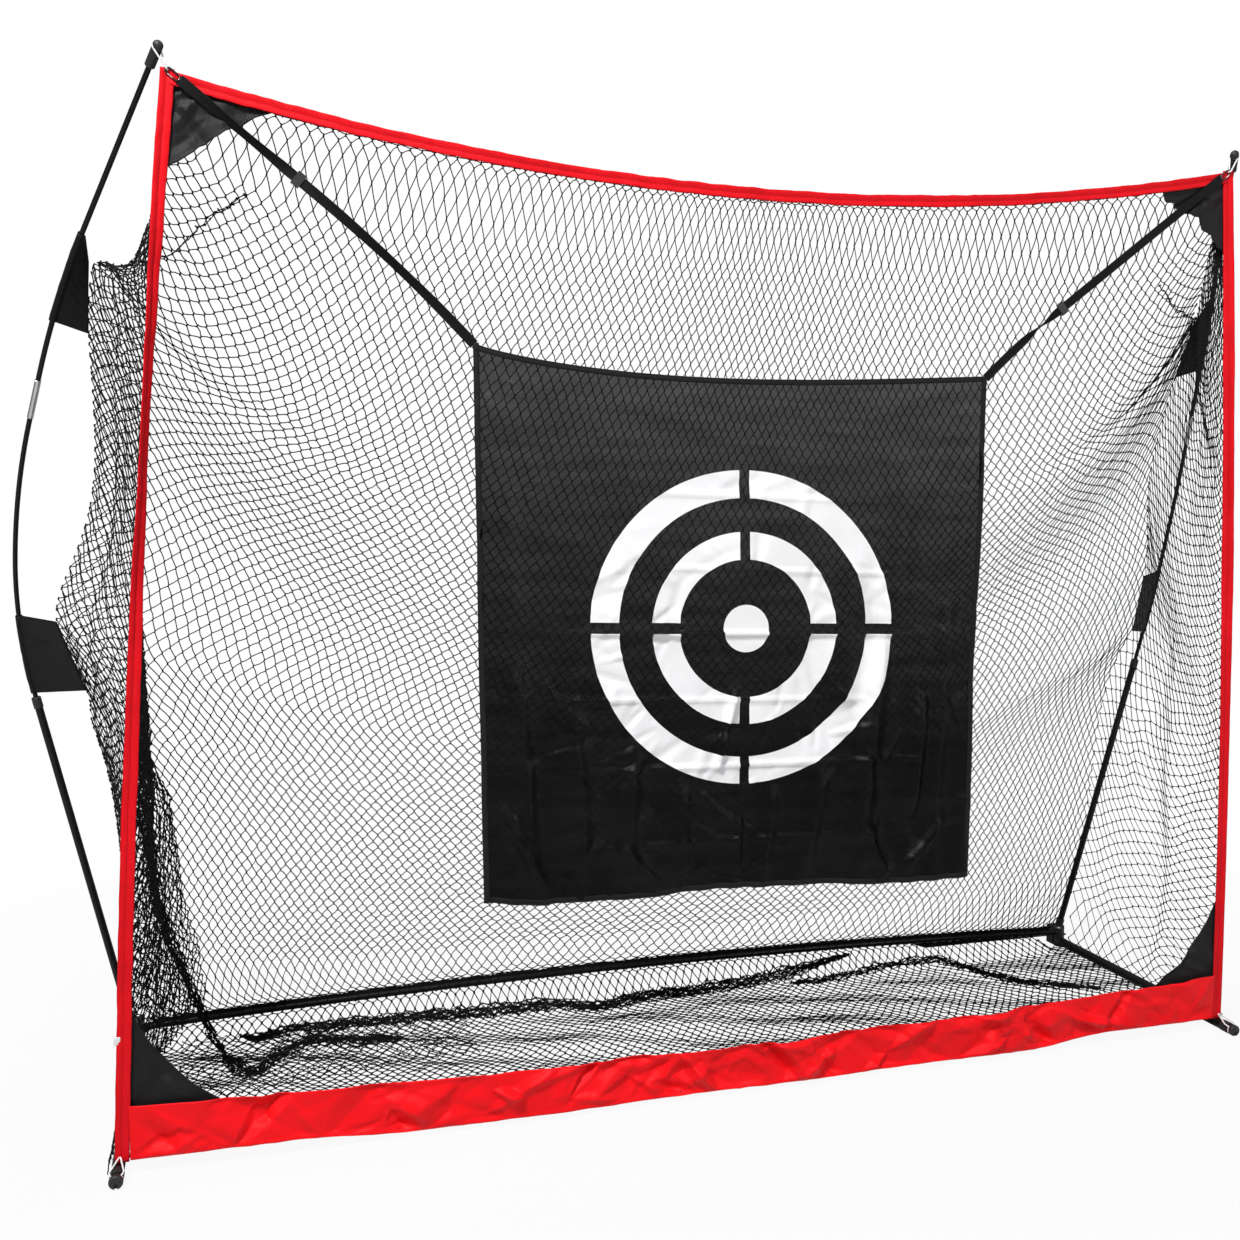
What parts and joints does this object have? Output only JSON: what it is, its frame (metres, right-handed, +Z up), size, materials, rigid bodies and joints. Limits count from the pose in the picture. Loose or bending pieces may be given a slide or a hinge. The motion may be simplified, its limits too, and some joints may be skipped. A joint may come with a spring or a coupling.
{
  "type": "golf chipping net",
  "caption": "Free-standing golf practice net: a black mesh pocket with red bands on a folding frame with bowed poles, with a hanging ring target sheet.",
  "frame": {"origin": "on the ground under the middle of the whole net, halfway from its pole tips to its rear corners", "axes": "+Z up, the mouth faces -Y and +X is the right-hand side seen from the front"},
  "size_m": [3.0656, 0.791, 2.1326],
  "materials": {
    "black_tube": "satin black paint",
    "spigot_steel": "plain zinc",
    "black_plastic": "fine matt moulding",
    "pin_steel": "bright zinc",
    "ferrule_metal": "bright drawn",
    "net_cord": "knotted black cord",
    "red_band": "woven polyester",
    "dark_patch": "coated woven nylon",
    "hem_tape": "woven tape",
    "tab_cloth": "coated woven nylon",
    "white_elastic": "braided white",
    "white_tag": "blank woven label",
    "sheet_cloth": "printed black polyester",
    "sheet_hem": "stitched black hem",
    "strap_webbing": "black webbing",
    "hook_metal": "black plating",
    "gate_metal": "sprung wire"
  },
  "bodies": {
    "net_and_frame": {"rear_bar_left": "black_tube", "rear_bar_middle": "black_tube", "rear_bar_right": "black_tube", "pole_tube_left": "black_tube", "pole_tube_right": "black_tube", "rod_lower_left": "black_tube", "rod_lower_right": "black_tube", "rod_upper_left": "black_tube", "rod_upper_right": "black_tube", "rear_bar_spigots": "spigot_steel", "corner_bracket_left": "black_plastic", "corner_bracket_right": "black_plastic", "tube_collar_left": "black_plastic", "tube_collar_right": "black_plastic", "pole_cap_left": "black_plastic", "pole_cap_right": "black_plastic", "fold_pin_left": "pin_steel", "fold_pin_right": "pin_steel", "ferrule_left": "ferrule_metal", "ferrule_right": "ferrule_metal", "net_back": "net_cord", "net_left": "net_cord", "net_right": "net_cord", "net_floor": "net_cord", "band_top": "red_band", "band_left": "red_band", "band_right": "red_band", "skirt": "red_band", "patch_top_left": "dark_patch", "patch_top_right": "dark_patch", "patch_foot_left": "dark_patch", "patch_foot_right": "dark_patch", "rear_hem": "hem_tape", "rear_hem_tab": "hem_tape", "pole_tab_upper_left": "tab_cloth", "pole_tab_upper_right": "tab_cloth", "pole_tab_lower_left": "tab_cloth", "pole_tab_lower_right": "tab_cloth", "top_elastic_left": "white_elastic", "top_elastic_right": "white_elastic", "foot_elastic_left": "white_elastic", "foot_elastic_right": "white_elastic", "blank_tag": "white_tag", "strap_left": "strap_webbing", "strap_right": "strap_webbing", "snap_hook_left": "hook_metal", "snap_hook_right": "hook_metal"},
    "side_bar_left": {"side_bar_left": "black_tube", "side_bar_eye_left": "black_plastic", "foot_cap_left": "black_plastic"},
    "side_bar_right": {"side_bar_right": "black_tube", "side_bar_eye_right": "black_plastic", "foot_cap_right": "black_plastic"},
    "target": {"target_sheet": "sheet_cloth", "target_hem": "sheet_hem"},
    "strap_slider_left": {"strap_slider_left": "black_plastic"},
    "strap_slider_right": {"strap_slider_right": "black_plastic"},
    "hook_gate_left": {"hook_gate_left": "gate_metal"},
    "hook_gate_right": {"hook_gate_right": "gate_metal"}
  },
  "joints": [
    {"name": "side_bar_left_fold", "type": "hinge", "parent": "net_and_frame", "child": "side_bar_left", "pos_m": [-1.3, 0.34952, 0.0168], "axis": [0, 0, 1], "range_deg": [0, 90], "deforming": ["foot_elastic_left"]},
    {"name": "side_bar_right_fold", "type": "hinge", "parent": "net_and_frame", "child": "side_bar_right", "pos_m": [1.3, 0.34952, 0.0168], "axis": [0, 0, -1], "range_deg": [0, 90], "deforming": ["foot_elastic_right"]},
    {"name": "target_sheet_swing", "type": "hinge", "parent": "net_and_frame", "child": "target", "pos_m": [0, -0.36091, 1.616], "axis": [0.9997, 0, -0.0244], "range_deg": [-20, 20]},
    {"name": "strap_slider_left_slide", "type": "slide", "parent": "net_and_frame", "child": "strap_slider_left", "axis": [-0.7942, -0.0377, 0.6065], "range_m": [-0.15, 0.15]},
    {"name": "strap_slider_right_slide", "type": "slide", "parent": "net_and_frame", "child": "strap_slider_right", "axis": [0.79, -0.0358, 0.612], "range_m": [-0.15, 0.15]},
    {"name": "hook_gate_left_hinge", "type": "hinge", "parent": "net_and_frame", "child": "hook_gate_left", "pos_m": [-1.14725, -0.38794, 2.06738], "axis": [-0.0474, 0.9989, 0], "range_deg": [0, 25], "stiffness_Nm_per_rad": 0.002, "springref_deg": -20.05},
    {"name": "hook_gate_right_hinge", "type": "hinge", "parent": "net_and_frame", "child": "hook_gate_right", "pos_m": [1.14736, -0.38797, 2.0673], "axis": [-0.0452, -0.999, 0], "range_deg": [0, 25], "stiffness_Nm_per_rad": 0.002, "springref_deg": -20.05}
  ]
}
